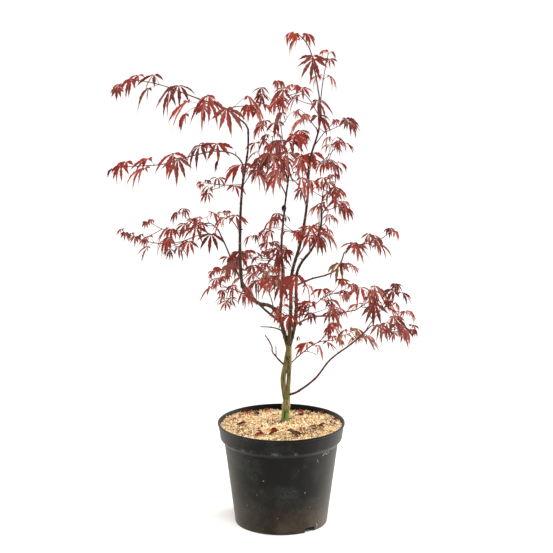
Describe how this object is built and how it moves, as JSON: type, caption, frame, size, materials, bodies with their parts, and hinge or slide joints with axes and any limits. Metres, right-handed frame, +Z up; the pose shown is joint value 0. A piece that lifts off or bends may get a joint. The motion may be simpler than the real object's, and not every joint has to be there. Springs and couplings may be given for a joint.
{
  "type": "potted japanese maple",
  "caption": "Young cut-leaved japanese maple with wiry ascending stems and red leaves in drooping tiers, in a round black nursery pot topped with wood shavings.",
  "frame": {"origin": "centre of the pot's flat underside, on the ground", "axes": "+Z up along the pot's axis, -Y towards the side of the plant that faces the viewer, +X to the viewer's right"},
  "size_m": [0.6845, 0.493, 1.0923],
  "materials": {
    "pot_plastic": "black satin polypropylene, scuffed and dusty",
    "wood_shavings": "pale loose wood shavings over dark potting mix",
    "trunk_bark": "smooth young bark, olive green and brown with lengthwise streaks",
    "limb_bark": "smooth young bark, dark purple-brown",
    "leaf_dusky": "thin satin leaf, dusty mauve red",
    "leaf_crimson": "thin satin leaf, crimson",
    "leaf_dark": "thin satin leaf, dark purple red",
    "leaf_scarlet": "thin satin leaf, warm scarlet red"
  },
  "bodies": {
    "root": {"pot": "pot_plastic", "mulch": "wood_shavings", "trunk": "trunk_bark", "main_leader": "limb_bark", "left_bough": "limb_bark", "right_stem": "limb_bark", "left_leader": "limb_bark", "left_back_bough": "limb_bark", "inner_leader": "limb_bark", "low_right_bough": "limb_bark", "mid_right_bough": "limb_bark", "upper_right_bough": "limb_bark", "left_upper_bough": "limb_bark", "top_left_bough": "limb_bark", "front_bough": "limb_bark", "back_bough": "limb_bark", "back_right_bough": "limb_bark", "upper_front_bough": "limb_bark", "upper_back_bough": "limb_bark", "bare_twig_low": "limb_bark", "bare_twig_high": "limb_bark", "leaves_top": "leaf_dusky", "leaves_top_right": "leaf_crimson", "leaves_crown_left": "leaf_dark", "leaves_crown_mid": "leaf_scarlet", "leaves_crown_front": "leaf_dusky", "leaves_right_high": "leaf_crimson", "leaves_upper_centre": "leaf_dark", "leaves_upper_back": "leaf_scarlet", "leaves_upper_front": "leaf_dusky", "leaves_right_mid_high": "leaf_crimson", "leaves_right_tip": "leaf_dark", "leaves_right_side": "leaf_scarlet", "leaves_leader_right": "leaf_dusky", "leaves_left_tip": "leaf_crimson", "leaves_left_near": "leaf_dark", "leaves_left_near_low": "leaf_scarlet", "leaves_left_upper": "leaf_dusky", "leaves_left_upper_near": "leaf_crimson", "leaves_left_small": "leaf_dark", "leaves_left_shoulder": "leaf_scarlet", "leaves_tier_upper": "leaf_dusky", "leaves_tier_lower": "leaf_crimson", "leaves_mid_left": "leaf_dark", "leaves_mid_inner": "leaf_scarlet", "leaves_low_left": "leaf_dusky", "leaves_front_low": "leaf_crimson", "leaves_back_low": "leaf_dark", "leaves_back_right": "leaf_scarlet", "leaves_centre_mid": "leaf_dusky", "leaves_upper_right_tip": "leaf_crimson", "leaves_upper_right_hang": "leaf_dark", "leaves_mid_right_high": "leaf_scarlet", "leaves_mid_right": "leaf_dusky", "leaves_far_right": "leaf_crimson", "leaves_far_right_high": "leaf_dark", "leaves_low_right": "leaf_scarlet", "leaves_right_centre": "leaf_dusky", "leaves_low_right_inner": "leaf_crimson"}
  },
  "joints": []
}
